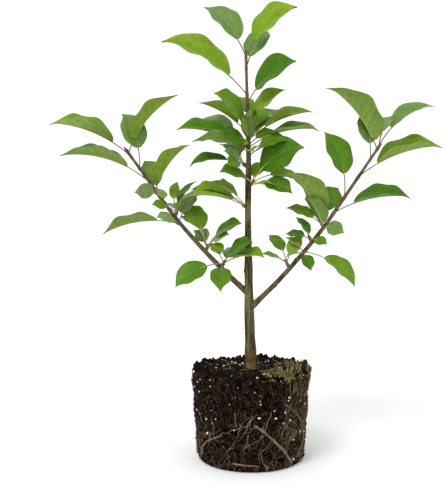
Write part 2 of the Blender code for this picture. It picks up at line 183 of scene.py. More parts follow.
def bark(name, young, corky, pore_colour, cork_share, collar=False):
    """Young bark: two colours in streaks along the stem, with pale pores.

    The collar is the trunk's foot, yellowish with a band of red-brown where it was grafted.
    """
    made, tree, shader, place = new_material(name, 0.66, 0.12)
    stretched = add_node(tree, "ShaderNodeMapping", None, {"Vector": place, "Scale": (1, 1, 0.1)})
    streaks = add_node(tree, "ShaderNodeTexNoise", None,
                       {"Vector": stretched.outputs["Vector"], "Scale": 1 / (2 * RIDGE),
                        "Detail": 5.0, "Roughness": 0.65})
    cork = add_node(tree, "ShaderNodeMapRange", None,
                    {"Value": streaks.outputs["Fac"], "From Min": 0.62 - 0.4 * cork_share,
                     "From Max": 0.78 - 0.4 * cork_share})
    skin = add_node(tree, "ShaderNodeMix", {"data_type": "RGBA"},
                    {"Factor": cork.outputs["Result"], 6: young, 7: corky})
    squeezed = add_node(tree, "ShaderNodeMapping", None, {"Vector": place, "Scale": (1, 1, 2.2)})
    cells = add_node(tree, "ShaderNodeTexVoronoi", None,
                     {"Vector": squeezed.outputs["Vector"], "Scale": 1 / PORE})
    pore = add_node(tree, "ShaderNodeMapRange", None,
                    {"Value": cells.outputs["Distance"], "From Min": 0.22, "From Max": 0.12})
    coloured = add_node(tree, "ShaderNodeMix", {"data_type": "RGBA"},
                        {"Factor": pore.outputs["Result"], 6: skin.outputs[2], 7: pore_colour})
    if collar:
        height = add_node(tree, "ShaderNodeSeparateXYZ", None, {"Vector": place}).outputs["Z"]
        ragged = add_node(tree, "ShaderNodeMath", {"operation": "MULTIPLY_ADD"},
                          {0: cells.outputs["Distance"], 1: COLLAR_RAGGED, 2: height})
        for tone, low, high in COLLAR_TONES:
            share = add_node(tree, "ShaderNodeMapRange", None,
                             {"Value": ragged.outputs["Value"], "From Min": high * MM,
                              "From Max": low * MM, "To Max": 0.85})
            coloured = add_node(tree, "ShaderNodeMix", {"data_type": "RGBA"},
                                {"Factor": share.outputs["Result"], 6: coloured.outputs[2],
                                 7: tone})
    bump = add_node(tree, "ShaderNodeBump", None,
                    {"Height": streaks.outputs["Fac"], "Strength": 0.6, "Distance": 0.6 * MM})
    tree.links.new(coloured.outputs[2], shader.inputs["Base Color"])
    tree.links.new(bump.outputs["Normal"], shader.inputs["Normal"])
    return made


def stalk(name, green, flushed):
    """A leaf stalk: pale green, flushed with pink where the light has reached it."""
    made, tree, shader, place = new_material(name, 0.5, 0.45)
    flush = add_node(tree, "ShaderNodeTexNoise", None, {"Vector": place, "Scale": 1 / (14 * MM)})
    amount = add_node(tree, "ShaderNodeMapRange", None,
                      {"Value": flush.outputs["Fac"], "From Min": 0.35, "From Max": 0.65})
    mixed = add_node(tree, "ShaderNodeMix", {"data_type": "RGBA"},
                     {"Factor": amount.outputs["Result"], 6: green, 7: flushed})
    tree.links.new(mixed.outputs[2], shader.inputs["Base Color"])
    return made


trunk_bark = bark("young_olive_bark", "#6b6640", "#352d18", "#857d58", 0.5, True)
bough_bark = bark("brown_bough_bark", "#60583a", "#3a3120", "#7d7250", 0.5)
shoot_bark = bark("reddish_shoot_bark", "#6e5d46", "#4e3c30", "#8a7860", 0.5)
shoot_stalk = stalk("flushed_stalk", "#897b54", "#735a42")
trunk_spur_stalk = stalk("pale_green_stalk", "#b9bd70", "#b8a06a")
bough_spur_stalk = stalk("brownish_stalk", "#a3996c", "#8a7560")
midrib_pale = stalk("pale_midrib", "#90ad4c", "#9cb45a")
print("bark and stalk finishes", 7)

# %% [markdown]
# The root ball is peat with perlite in it, bound by roots. Peat is very dark and matt, with
# crumbs of lighter brown fibre. Roots are tan with paler young ends, perlite is a white
# expanded glass, and dry moss is olive and straw-coloured.


# %% Root ball finishes
def earthy(name, main, other, size, roughness, relief):
    """A matt natural stuff of two colours in patches of a given size, with painted shade that turns its
    gaps black.
    """
    made, tree, shader, place = new_material(name, roughness, 0.05)
    patches = add_node(tree, "ShaderNodeTexNoise", None,
                       {"Vector": place, "Scale": 1 / size, "Detail": 6.0, "Roughness": 0.75})
    amount = add_node(tree, "ShaderNodeMapRange", None,
                      {"Value": patches.outputs["Fac"], "From Min": 0.42, "From Max": 0.66})
    mixed = add_node(tree, "ShaderNodeMix", {"data_type": "RGBA"},
                     {"Factor": amount.outputs["Result"], 6: main, 7: other})
    # Painted shade: the deeper a point lies in a gap of the soil, the nearer to black its colour.
    gap = add_node(tree, "ShaderNodeAttribute", {"attribute_name": "vein_and_painted_shade"})
    deep = add_node(tree, "ShaderNodeMix", {"data_type": "RGBA"},
                    {"Factor": gap.outputs["Fac"], 6: mixed.outputs[2], 7: "#020101"})
    bump = add_node(tree, "ShaderNodeBump", None,
                    {"Height": patches.outputs["Fac"], "Strength": relief,
                     "Distance": 0.15 * size})
    tree.links.new(deep.outputs[2], shader.inputs["Base Color"])
    tree.links.new(bump.outputs["Normal"], shader.inputs["Normal"])
    return made


peat = earthy("moist_peat", "#060301", "#30241a", 4 * MM, 0.95, 1.0)
dark_crumb = earthy("dark_peat_crumb", "#080503", "#291f16", 2 * MM, 0.95, 0.8)
brown_crumb = earthy("brown_peat_crumb", "#3a2b1d", "#5c4a35", 2 * MM, 0.92, 0.8)
pale_crumb = earthy("pale_peat_fibre", "#73644f", "#978a74", 2 * MM, 0.92, 0.6)
green_crumb = earthy("mossy_peat_crumb", "#1d2010", "#403f24", 2 * MM, 0.92, 0.8)
root_tan = earthy("tan_root", "#8a6e55", "#5a4636", 5 * MM, 0.6, 0.4)
root_pale = earthy("pale_young_root", "#958772", "#63574a", 4 * MM, 0.6, 0.3)
perlite = earthy("perlite_grain", "#eeebe4", "#c8c2b6", 1.5 * MM, 0.85, 0.7)
moss_olive = earthy("dry_olive_moss", "#82723f", "#332b14", 3 * MM, 0.85, 0.3)
moss_straw = earthy("straw_moss", "#c8b988", "#7e6e44", 4 * MM, 0.8, 0.3)
brown_fibre = earthy("brown_peat_fibre", "#544434", "#2c2118", 3 * MM, 0.9, 0.4)
print("root ball finishes", 11)

# %% [markdown]
# Every piece ends up as one mesh with several materials, made from many small shapes: a blade
# here, a stalk there. A small collector gathers the points and faces of those shapes and
# makes the object at the end. It also carries a value for each point, by which a shader knows
# how near a vein the point lies, or how deep in a gap of the soil, where the shader paints shade
# black. Joining them in numbers is far quicker than joining objects.


# %% Mesh collector
class Gathered:
    """Points, faces and material numbers of many shapes that become one piece."""

    def __init__(self):
        self.points, self.faces, self.finish, self.marks, self.count = [], [], [], [], 0

    def add(self, points, faces, finish, marks=None):
        self.points.append(np.asarray(points, float))
        self.faces.extend([tuple(int(i) + self.count for i in face) for face in faces])
        self.finish.extend(finish if hasattr(finish, "__len__") else [finish] * len(faces))
        self.marks.append(np.zeros(len(points)) if marks is None else np.asarray(marks, float))
        self.count += len(points)

    def piece(self, name, materials, slot, *nodes):
        """The finished piece, riding on the tree's only body."""
        mesh = bpy.data.meshes.new(name)
        mesh.from_pydata(np.concatenate(self.points), [], self.faces)
        for material in materials:
            mesh.materials.append(material)
        mesh.polygons.foreach_set("material_index", np.array(self.finish, np.int32))
        vein_and_painted_shade = mesh.attributes.new("vein_and_painted_shade", "FLOAT", "POINT")
        vein_and_painted_shade.data.foreach_set("value", np.concatenate(self.marks).astype(np.float32))
        mesh.shade_smooth()
        made = bpy.data.objects.new(name, mesh)
        bpy.context.scene.collection.objects.link(made)
        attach(made, "root")
        if nodes:
            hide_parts(*nodes)
        return made


def grid_faces(rows, columns, first=0, closed=False, flip=False):
    """Quads of a grid of points that is listed row by row. closed joins the last column on."""
    found = []
    for row in range(rows - 1):
        for column in range(columns if closed else columns - 1):
            a = first + row * columns + column
            b = first + row * columns + (column + 1) % columns
            quad = (a, b, b + columns, a + columns)
            found.append(quad[::-1] if flip else quad)
    return found


def tube(points, radii, sides):
    """Points and faces of a closed tube with flat ends round a line of points."""
    points = np.asarray(points, float)
    ahead = np.gradient(points, axis=0)
    ahead /= np.linalg.norm(ahead, axis=1)[:, None]
    side = np.cross(ahead[0], (0.31, 0.17, 0.94) if abs(ahead[0][2]) < 0.9 else (1, 0, 0))
    rings = []
    for at, forward, radius in zip(points, ahead, radii):
        side = side - forward * np.dot(side, forward)
        side /= np.linalg.norm(side)
        other = np.cross(forward, side)
        turns = np.arange(sides) * 2 * math.pi / sides
        rings.append(at + radius * (np.cos(turns)[:, None] * side + np.sin(turns)[:, None] * other))
    found = np.concatenate([*rings, points[:1], points[-1:]])
    faces = grid_faces(len(points), sides, closed=True)
    start, end = len(found) - 2, len(found) - 1
    last = (len(points) - 1) * sides
    for i in range(sides):
        faces.append((start, (i + 1) % sides, i))
        faces.append((end, last + i, last + (i + 1) % sides))
    return found, faces


print("collector ready")

# %% [markdown]
# The limbs and the settings of all leaves are those of the solids, written again here. A limb
# runs from its foot to its tip along a shallow bow and tapers by a short table. A mass of
# leaves has one stem: a shoot's goes on from the end of a limb, and a spur's is a short stub
# on a limb. A leaf is (share of the stem, bearing, lift of the blade, stalk and blade in
# millimetres, degrees that its upper side is turned to the front).

# %% Limbs and leaves of the tree
GAP = 0.3 * MM
BALL_HEIGHT = 115 * MM
TRUNK_FOOT, TRUNK_TIP, TRUNK_BOW = (0, 0, 115), (-3.6, 2, 376), (-1.8, 0, 0)
LEFT_FOOT, LEFT_TIP, LEFT_BOW = (-2, 0, 207.6), (-98, 20, 306), (-1, -2, -3)
RIGHT_FOOT, RIGHT_TIP, RIGHT_BOW = (-2, 0, 190), (91, -14, 298), (2.2, 2, -3.1)
TRUNK_RADII = ((0, 6.9), (0.035, 6.5), (0.077, 7.7), (0.12, 6.4), (0.23, 6.2), (0.3, 6.0), (0.36, 5.3),
               (0.42, 5.0), (0.48, 5.3), (0.53, 4.7), (0.6, 4.2), (0.75, 3.7), (0.88, 3.9), (1, 3.0))
LEFT_RADII = ((0, 4.4), (0.13, 3.5), (0.4, 3.1), (0.6, 2.8), (1, 2.4))
RIGHT_RADII = ((0, 4.5), (0.15, 3.2), (0.6, 2.7), (1, 2.4))
LIMBS = {
    "trunk": (TRUNK_FOOT, TRUNK_TIP, TRUNK_BOW, TRUNK_RADII),
    "bough_left": (LEFT_FOOT, LEFT_TIP, LEFT_BOW, LEFT_RADII),
    "bough_right": (RIGHT_FOOT, RIGHT_TIP, RIGHT_BOW, RIGHT_RADII),
}
LIMB_STEPS = 22
SHOOTS = {
    "leaves_leader_tip": (
        (-5, 3, 431), (-7.4, 4, 504), (2.1, 1.5),
        ((0.15, 322, 30, 23, 67, 60), (0.30, 190, 28, 33, 92, 28), (0.74, 48, 40, 16, 48, 12),
         (0.93, 147, 40, 24, 62, 20), (0.92, 340, 38, 23, 67, 44)), 0,
    ),
    "leaves_leader_ring": (
        TRUNK_TIP, (-5, 3, 431), (2.7, 2.1),
        ((0.60, 218, 39, 15, 57, 53), (0.67, 342, 40, 17, 51, 42), (0.52, 170, 27, 20, 54, 6),
         (0.20, 185, 10, 28, 66, 16), (0.32, 150, 11, 28, 54, 22), (0.13, 208, 3, 24, 58, -25),
         (0.36, 232, 4, 10, 44, 55), (0.45, 285, 62, 6, 38, 25), (0.36, 250, 60, 5, 34, 20),
         (0.40, 240, -14, 6, 26, 30),
         (0.40, 358, 18, 27, 61, 14), (0.24, 350, 7, 32, 60, 8), (0.42, 50, 23, 22, 48, 0),
         (0.12, 332, 12, 18, 38, 40), (0.28, 20, 18, 14, 28, 25), (0.04, 322, 18, 12, 32, 20),
         (0.16, 280, 0, 5, 24, 20)), 2,
    ),
    "leaves_left_tip": (
        LEFT_TIP, (-156, 34, 385), (2.4, 1.7),
        ((0.88, 182, 17, 30, 82, 2), (0.94, 351, 45, 18, 81, 2), (0.70, 142, 60, 26, 50, 36),
         (0.47, 186, 10, 36, 85, 2), (0.36, 329, 47, 10, 70, 8), (0.30, 130, 48, 12, 40, 34),
         (0.26, 222, 6, 12, 30, 90), (0.16, 250, 38, 8, 24, 0)), 0,
    ),
    "leaves_right_tip": (
        RIGHT_TIP, (151, -28, 392), (2.4, 1.6),
        ((0.97, 198, 47, 12, 90, -4), (0.98, 5, 28, 30, 58, 10), (0.84, 125, 62, 20, 40, 25),
         (1.00, 50, 40, 20, 28, 0), (0.61, 352, 16, 29, 79, 10), (0.34, 151, 61, 30, 57, 24),
         (0.14, 346, 8, 28, 69, 18)), 0,
    ),
}
SPURS = {
    "leaves_trunk_left": (
        "trunk", 0.955, (185, 40, 9), 2.0,
        ((0.80, 190, -7, 22, 48, 20), (1.0, 222, 24, 8, 28, 60), (0.90, 240, -4, 12, 28, 50),
         (0.93, 105, 14, 20, 46, 15)), 1,
    ),
    "leaves_trunk_right": (
        "trunk", 0.865, (325, 45, 9), 2.0,
        ((0.90, 334, 29, 22, 63, 76), (0.60, 324, -17, 22, 40, 30), (0.75, 8, -8, 26, 38, 25),
         (0.45, 322, -13, 16, 36, -30), (0.76, 60, 32, 10, 30, 10), (0.90, 218, 14, 12, 42, 40)), 0,
    ),
    "leaves_trunk_low": (
        "trunk", 0.765, (180, 35, 8), 1.9,
        ((0.70, 206, 12, 18, 56, 24), (0.65, 224, 27, 18, 40, 38), (0.60, 190, 4, 20, 58, -6),
         (0.74, 152, 3, 26, 54, 14)), 0,
    ),
    "leaves_left_ring": (
        "bough_left", 0.96, (60, 60, 8), 1.8,
        ((1.0, 35, 76, 17, 22, 30), (0.68, 215, 8, 18, 21, 50), (0.57, 322, 56, 6, 24, 30),
         (1.0, 320, 46, 13, 40, 6), (1.0, 25, 20, 15, 38, 8)), 1,
    ),
    "leaves_left_out": (
        "bough_left", 0.88, (215, 20, 6), 1.7,
        ((1.0, 190, -13, 26, 70, 2), (0.70, 216, 14, 8, 27, 50)), 1,
    ),
    "leaves_left_inner": (
        "bough_left", 0.56, (25, 62, 8), 1.8,
        ((0.60, 127, 36, 26, 46, 18), (0.68, 145, 22, 32, 28, 10), (0.74, 110, 22, 10, 30, 30),
         (1.0, 330, 26, 18, 42, 32), (0.90, 318, 22, 13, 28, 50), (0.87, 315, -12, 6, 24, 45)), 1,
    ),
    "leaves_left_low": (
        "bough_left", 0.36, (330, 55, 7), 1.8,
        ((1.0, 125, 26, 14, 26, 0), (1.0, 322, 31, 13, 43, 54), (0.90, 326, 7, 18, 46, 14),
         (0.42, 266, -32, 8, 42, 0), (1.0, 197, -30, 22, 48, 40)), 1,
    ),
    "leaves_right_ring": (
        "bough_right", 0.96, (140, 55, 8), 1.8,
        ((0.78, 210, 50, 11, 73, -12), (0.85, 54, 40, 16, 42, 30), (0.10, 206, 56, 5, 42, -18),
         (0.22, 170, 19, 16, 36, 28), (0.15, 312, -12, 6, 29, 62), (0.88, 115, 34, 14, 34, 0)), 1,
    ),
    "leaves_right_mid": (
        "bough_right", 0.80, (150, 60, 7), 1.7,
        ((0.75, 140, 44, 6, 28, 6), (0.50, 158, 4, 9, 25, 27), (0.50, 318, -10, 6, 20, 45)), 0,
    ),
    "leaves_right_inner": (
        "bough_right", 0.67, (300, 35, 6), 1.7,
        ((0.95, 345, -42, 26, 52, 16), (0.62, 287, -42, 6, 25, 14), (0.50, 210, -12, 6, 20, 0)), 1,
    ),
    "leaves_right_low": (
        "bough_right", 0.50, (170, 65, 8), 1.7,
        ((1.0, 140, 38, 16, 29, 20), (0.94, 30, 48, 12, 28, 40), (0.80, 185, 14, 12, 24, 10)), 0,
    ),
}
# The green of each leaf of a mass, in the order of its table: yellowish, fresh, middle, deep,
# grey, pale or bright-backed. A leaf's tint is partly its own green and partly painted light and
# shade: a leaf that falls in shade is given a paler tint, and one in full light a deeper one, to
# even out how light or dark it shows. The fillers of the far side take the last letters.
GREENS = {
    "leaves_leader_tip": "dyggy",
    "leaves_leader_ring": "fyympmdfdyyffmyfpyf",
    "leaves_left_tip": "bygmygpp",
    "leaves_right_tip": "mggpfmd",
    "leaves_trunk_left": "dpfdm",
    "leaves_trunk_right": "ddypym",
    "leaves_trunk_low": "yfpf",
    "leaves_left_ring": "ffydpp",
    "leaves_left_out": "mpp",
    "leaves_left_inner": "fppmpfm",
    "leaves_left_low": "mdymmp",
    "leaves_right_ring": "mmdfgfm",
    "leaves_right_mid": "mdm",
    "leaves_right_inner": "fdpp",
    "leaves_right_low": "myg",
}
print("leaves in the tables", sum(len(m[-2]) for m in (*SHOOTS.values(), *SPURS.values())))


# %% Limb helpers
def along(table, share):
    """A value read from (share, value) pairs by straight lines between them."""
    return float(np.interp(share, *zip(*table)))


def bowed(foot, tip, bow, share):
    """The point at a share of the way from foot to tip, in metres."""
    foot, tip, bow = (Vector(p) * MM for p in (foot, tip, bow))
    return foot.lerp(tip, share) + bow * 4 * share * (1 - share)


def heading(bearing, lift):
    flat, up = math.radians(bearing), math.radians(lift)
    return Vector((math.cos(flat) * math.cos(up), math.sin(flat) * math.cos(up), math.sin(up)))


print("trunk tip is", TRUNK_TIP, "mm")

# %% [markdown]
# A crabapple leaf is an oval with a drawn-out tip and fine teeth. It hangs in an even curve on
# its stalk, folded along its midrib, with a margin that waves, and its side veins lie in
# shallow grooves. The source gives each leaf its curve, fold and turn by a seeded rule, and
# the same draws are made here, so each fine blade covers its solid. It is made as a grid of
# points on that curved sheet, because a grid can be folded, waved and toothed by formulas,
# which a flat cut-out with a bend modifier can't. An upper and an under sheet meet at the rim.

# %% Leaf measures
WIDTH_SHARE = 0.64
OUTLINE = ((0, 0.18), (0.13, 0.68), (0.42, 1.0), (0.74, 0.72), (1, 0.04))
DROOP, SPREAD = 32, 6
FOLD_PER_MM, FOLD_MOST, OPEN_TURN = 0.60, 44, 110
BLADE_THICK = 0.45 * MM
BLADE_ROWS = 52
HALF_COLUMNS = (0.035, 0.1, 0.22, 0.36, 0.5, 0.64, 0.78, 0.9, 1.0)
VEINS = 9  # side veins on each half
VEIN_FORWARD = 0.2  # share of the blade that a side vein runs forward on its way out
VEIN_DEPTH = 0.006  # of the blade
TOOTH = 0.022  # of the half width
WAVE = 0.07  # of the half width, at the margin
COLUMNS = np.array([-c for c in HALF_COLUMNS[::-1]] + [0] + list(HALF_COLUMNS))


def smooth_outline(shares):
    """The half width at each share: a smooth curve through the outline's points."""
    x, y = (np.array(v, float) for v in zip(*OUTLINE))
    slope = np.gradient(y, x)
    slope[0], slope[2], slope[3], slope[-1] = 6.0, 0.0, -2.9, -0.8
    index = np.clip(np.searchsorted(x, shares, side="right") - 1, 0, len(x) - 2)
    span = x[index + 1] - x[index]
    t = (shares - x[index]) / span
    curve = ((2 * t**3 - 3 * t**2 + 1) * y[index] + (t**3 - 2 * t**2 + t) * span * slope[index]
             + (3 * t**2 - 2 * t**3) * y[index + 1] + (t**3 - t**2) * span * slope[index + 1])
    return np.maximum(curve, 0.02)


shares = np.linspace(0, 1, 101)
print("widest at", round(float(shares[smooth_outline(shares).argmax()]), 2))


# %% One leaf
class Leaf:
    """Where one leaf lies: a stalk and a blade on one curve that bends down evenly."""

    def __init__(self, start, setting, chance):
        _, self.bearing, self.lift, stalk_length, blade, shown = setting
        self.start = np.array(start)
        self.blade = blade * MM
        self.stalk = stalk_length * MM
        self.droop = DROOP + chance.uniform(-SPREAD, SPREAD)
        self.fold = min(FOLD_MOST, FOLD_PER_MM * blade) * (1 - abs(shown) / OPEN_TURN)
        self.fold += chance.uniform(-SPREAD, SPREAD)
        self.roll = math.copysign(1, math.cos(math.radians(self.bearing))) * shown
        self.roll += chance.uniform(-SPREAD, SPREAD)

    def line(self, shares):
        """Points on the stalk (shares below 0) and midrib, from the bend's own integral."""
        first = -self.stalk / self.blade
        slope = np.radians(self.lift + self.droop * (0.5 - np.asarray(shares, float)))
        start = math.radians(self.lift + self.droop * (0.5 - first))
        bend = math.radians(self.droop)
        level = (math.sin(start) - np.sin(slope)) / bend * self.blade
        rise = (np.cos(slope) - math.cos(start)) / bend * self.blade
        flat = np.array(heading(self.bearing, 0))
        return self.start + level[:, None] * flat + rise[:, None] * np.array((0, 0, 1))

    def across(self, shares):
        """The unit vectors to the blade's left edge and out of its upper side."""
        slope = np.radians(self.lift + self.droop * (0.5 - np.asarray(shares, float)))
        flat = np.array(heading(self.bearing, 0))
        left = np.cross((0, 0, 1), flat)
        up = np.cos(slope)[:, None] * np.array((0, 0, 1)) - np.sin(slope)[:, None] * flat
        turn = math.radians(self.roll)
        return (left * math.cos(turn) + up * math.sin(turn),
                up * math.cos(turn) - left * math.sin(turn))


def blade_sheet(leaf, fancy):
    """The blade's middle sheet as rows of points, and how near each lies to a vein."""
    shares = np.linspace(0, 1, BLADE_ROWS)
    left, up = leaf.across(shares)
    middle = leaf.line(shares)
    reach = smooth_outline(shares) * leaf.blade * WIDTH_SHARE / 2
    side, size = COLUMNS[None, :], np.abs(COLUMNS)[None, :]
    teeth = np.where(np.arange(BLADE_ROWS) % 2 == 1, TOOTH, -TOOTH)
    teeth = teeth * np.clip(shares * 8, 0, 1) * np.clip((1 - shares) * 6, 0.2, 1)
    out = side * (1 + np.where(size > 0.99, teeth[:, None], 0))
    # Each half rises steeply at the midrib and levels out towards its margin.
    fold = np.radians(leaf.fold * (1.35 - 0.6 * size))
    waves, start_left, start_right = fancy.uniform(1.6, 2.6), fancy.random(), fancy.random()
    start = np.where(side > 0, start_left, start_right)
    ripple = WAVE * size**2 * np.sin(2 * math.pi * (waves * shares[:, None] + start))
    ripple = ripple * np.sin(math.pi * np.clip(shares, 0.02, 0.98))[:, None] ** 0.5
    rise = np.sqrt(size**2 + 0.004) - 0.063
    over = (out * np.cos(fold))[:, :, None] * left[:, None, :]
    over = over + (rise * np.sin(fold) + ripple)[:, :, None] * up[:, None, :]
    phase = (shares[:, None] - VEIN_FORWARD * size**1.2 - 0.02) * VEINS
    vein = np.clip(np.cos(2 * math.pi * phase), 0, 1) ** 3 * (1 - size**4)
    vein = vein * np.clip((1 - shares[:, None]) * 5, 0, 1)
    rib = np.exp(-(size / 0.04) ** 2) * np.ones_like(phase)
    sunk = -VEIN_DEPTH * leaf.blade * vein * np.clip(size * 4, 0, 1)
    points = middle[:, None, :] + over * reach[:, None, None] + sunk[:, :, None] * up[:, None, :]
    # The tip curls down a little, and to one side.
    curl = np.clip((shares - 0.8) / 0.2, 0, 1) ** 2 * leaf.blade
    points = points - (curl * fancy.uniform(0.0, 0.05))[:, None, None] * up[:, None, :]
    points = points + (curl * fancy.uniform(-0.05, 0.05))[:, None, None] * left[:, None, :]
    return points, np.maximum(rib, 0.6 * vein)


def add_blade(gathered, leaf, fancy, upper, under, tip):
    """A blade as a closed shell: the upper sheet, the under sheet and the rim."""
    points, vein = blade_sheet(leaf, fancy)
    rows, columns = points.shape[:2]
    normal = np.cross(np.gradient(points, axis=0), np.gradient(points, axis=1))
    normal /= np.maximum(np.linalg.norm(normal, axis=2), 1e-12)[:, :, None]
    thin = np.ones((rows, columns, 1)) * BLADE_THICK / 2
    thin[:, [0, -1]] *= 0.35
    shell = np.concatenate([(points + normal * thin).reshape(-1, 3),
                            (points - normal * thin).reshape(-1, 3)])
    half = rows * columns
    top = grid_faces(rows, columns, 0, flip=True)
    low = grid_faces(rows, columns, half)
    rim_line = ([(0, c) for c in range(columns)] + [(r, columns - 1) for r in range(1, rows)]
                + [(rows - 1, c) for c in range(columns - 2, -1, -1)]
                + [(r, 0) for r in range(rows - 2, 0, -1)])
    rim_line = [r * columns + c for r, c in rim_line]
    rim = [(a, b, b + half, a + half) for a, b in zip(rim_line, rim_line[1:] + rim_line[:1])]
    faces = top + low + rim
    finish = [upper] * len(top) + [under] * (len(low) + len(rim))
    if tip is not None:
        first_dry = rows - 1 - fancy.randint(1, 2)
        for number, face in enumerate(faces):
            if face[0] % half // columns >= first_dry:
                finish[number] = tip
    gathered.add(shell, faces, finish, np.concatenate([vein.ravel()] * 2))


STALK_RADIUS, STALK_FOOT_RADIUS, RIB_END_RADIUS = 0.78 * MM, 1.35 * MM, 0.12 * MM


def add_stalk(gathered, leaf, stalk_finish, rib_finish):
    """The stalk, from the heart of its stem, and its run on under the blade as the midrib."""
    first = -leaf.stalk / leaf.blade
    shares = np.concatenate([np.linspace(first, 0, 12), np.linspace(0.04, 0.97, 22)])
    radii = []
    for share in shares:
        swell = max(0.0, 1 - (share - first) * leaf.blade / (4 * MM))
        slim = STALK_RADIUS + (STALK_FOOT_RADIUS - STALK_RADIUS) * swell
        radii.append(slim if share < 0 else STALK_RADIUS + (RIB_END_RADIUS - STALK_RADIUS) * share)
    _, up = leaf.across(shares)
    below = np.clip(shares * 10, 0, 1) * 0.35 * MM
    points, faces = tube(leaf.line(shares) - below[:, None] * up, radii, 7)
    finish = [stalk_finish if face[0] < 12 * 7 else rib_finish for face in faces]
    gathered.add(points, faces, finish)


print("triangles in a blade", 4 * (BLADE_ROWS - 1) * (len(COLUMNS) - 1))

# %% [markdown]
# The source gives the far side of each mass a few filler leaves, turned on from one another by
# the golden angle, so that the crown is full all round. The same draws are made again here. A
# twig is more than the tube of the solid: it swells slightly at each leaf, and a small bud sits
# in the corner above each stalk.

# %% Fillers
FAR_SIDE, FAR_SPREAD, GOLDEN_ANGLE = 90, 48, 137.5
FILLER_LIFT, FILLER_LIFT_SPREAD = 18, 15
FILLER_BLADE, FILLER_STALK, FILLER_START, FILLER_CLEAR = (0.75, 1.0), 0.4, 0.6, 7 * MM


def fillers(count, leaves, chance):
    """Settings of the leaves that fill a mass on its far side, by one seeded rule."""
    turn = chance.uniform(0, 360)
    blade = sum(leaf[4] for leaf in leaves) / len(leaves)
    found = []
    for number in range(count):
        share = (number + FILLER_START) / count
        bearing = FAR_SIDE + FAR_SPREAD * math.sin(math.radians(turn + GOLDEN_ANGLE * number))
        length = blade * chance.uniform(*FILLER_BLADE)
        lift = FILLER_LIFT + chance.uniform(-FILLER_LIFT_SPREAD, FILLER_LIFT_SPREAD)
        found.append((share, bearing, lift, length * FILLER_STALK, length, 0))
    return found


def near_limb(leaf):
    """Whether the blade's midrib comes close to a limb's axis."""
    midrib = [Vector(p) for p in leaf.line([0, 0.25, 0.5, 0.75, 1])]
    for foot, tip, bow, _ in LIMBS.values():
        for i in range(LIMB_STEPS + 1):
            at = bowed(foot, tip, bow, i / LIMB_STEPS)
            if min((at - point).length for point in midrib) < FILLER_CLEAR:
                return True
    return False


def leaves_of(name, foot, tip, settings, filler_count):
    """All leaves of a mass, in the source's order of draws."""
    chance = random.Random(name)
    found = [Leaf(foot.lerp(tip, s[0]), s, chance) for s in settings]
    for setting in fillers(filler_count, settings, chance):
        leaf = Leaf(foot.lerp(tip, setting[0]), setting, chance)
        if not near_limb(leaf):
            found.append(leaf)
    return found


print("fillers turn on by", GOLDEN_ANGLE, "degrees")

# %% Twigs and buds
TWIG_SIDES, TWIG_STEPS = 14, 46
NODE_SWELL, NODE_REACH = 0.45 * MM, 2.2 * MM
BUD_LENGTH, BUD_RADIUS = 3.6 * MM, 1.1 * MM


def add_bud(gathered, at, direction, finish, size=1.0):
    """A pointed bud: a short tube that swells and closes."""
    shares = np.linspace(0, 1, 7)
    points = [np.array(at) + np.array(direction) * s * BUD_LENGTH * size for s in shares]
    radii = BUD_RADIUS * size * np.sin(math.pi * (0.2 + 0.75 * shares)) ** 0.8
    gathered.add(*tube(points, radii, 8), finish)


def add_twig(gathered, foot, tip, radii, leaves, finish):
    """The stem of a mass, with a swelling and a bud at each leaf."""
    length = (tip - foot).length
    direction = (tip - foot).normalized()
    heights = sorted((Vector(leaf.start) - foot).dot(direction) for leaf in leaves)
    shares = np.linspace(0, 1, TWIG_STEPS)
    points, widths = [], []
    for share in shares:
        at = foot.lerp(tip, share)
        swell = sum(math.exp(-((share * length - h) / NODE_REACH) ** 2) for h in heights)
        widths.append((radii[0] + (radii[1] - radii[0]) * share) * MM
                      + NODE_SWELL * min(1.0, swell) + 0.12 * MM * noise.noise(at / (4 * MM)))
        points.append(at)
    gathered.add(*tube(points, widths, TWIG_SIDES), finish)
    for leaf in leaves:
        base = leaf.line([-leaf.stalk / leaf.blade + 0.001])[0]
        away = (heading(leaf.bearing, 0) + direction * 1.6).normalized()
        add_bud(gathered, Vector(base) + direction * 2.2 * MM, away, finish)
    add_bud(gathered, tip - direction * 0.5 * MM, direction, finish, 1.2)


print("bud", BUD_LENGTH / MM, "mm")


# %% Masses of leaves
DRY_TIPS = 0.15  # share of the leaves


def dress_mass(name, foot, tip, radii, settings, filler_count, stalk_material):
    """The blades, stalks and twig that stand for one mass."""
    leaves = leaves_of(name, foot, tip, settings, filler_count)
    fancy = random.Random(name + " fine")
    greens = GREENS[name]
    used = sorted(set(greens))
    materials = [side for tint in used for side in leaf_sides[tint]] + [dry_tip]
    blades, stalks, twig = Gathered(), Gathered(), Gathered()
    for number, leaf in enumerate(leaves):
        tint = greens[min(number, len(greens) - 1)]
        first = 2 * used.index(tint)
        tip_finish = len(materials) - 1 if fancy.random() < DRY_TIPS else None
        add_blade(blades, leaf, fancy, first, first + 1, tip_finish)
        add_stalk(stalks, leaf, 0, 1)
    add_twig(twig, foot, tip, radii, leaves, 0)
    blades.piece(name + "_blades", materials, "leaf", name)
    stalks.piece(name + "_stalks", [stalk_material, midrib_pale], "stalk", name)
    twig.piece(name + "_twig", [shoot_bark], "bark", name)
    return len(leaves)


made = 0
for name, (foot, tip, radii, settings, filler_count) in SHOOTS.items():
    foot, tip = Vector(foot) * MM, Vector(tip) * MM
    made += dress_mass(name, foot, tip, radii, settings, filler_count, shoot_stalk)
for name, (limb_name, share, stub, radius, settings, filler_count) in SPURS.items():
    foot = bowed(*LIMBS[limb_name][:3], share)
    tip = foot + heading(*stub[:2]) * stub[2] * MM
    stalks = trunk_spur_stalk if limb_name == "trunk" else bough_spur_stalk
    made += dress_mass(name, foot, tip, (radius, radius), settings, filler_count, stalks)
print("leaves made", made)

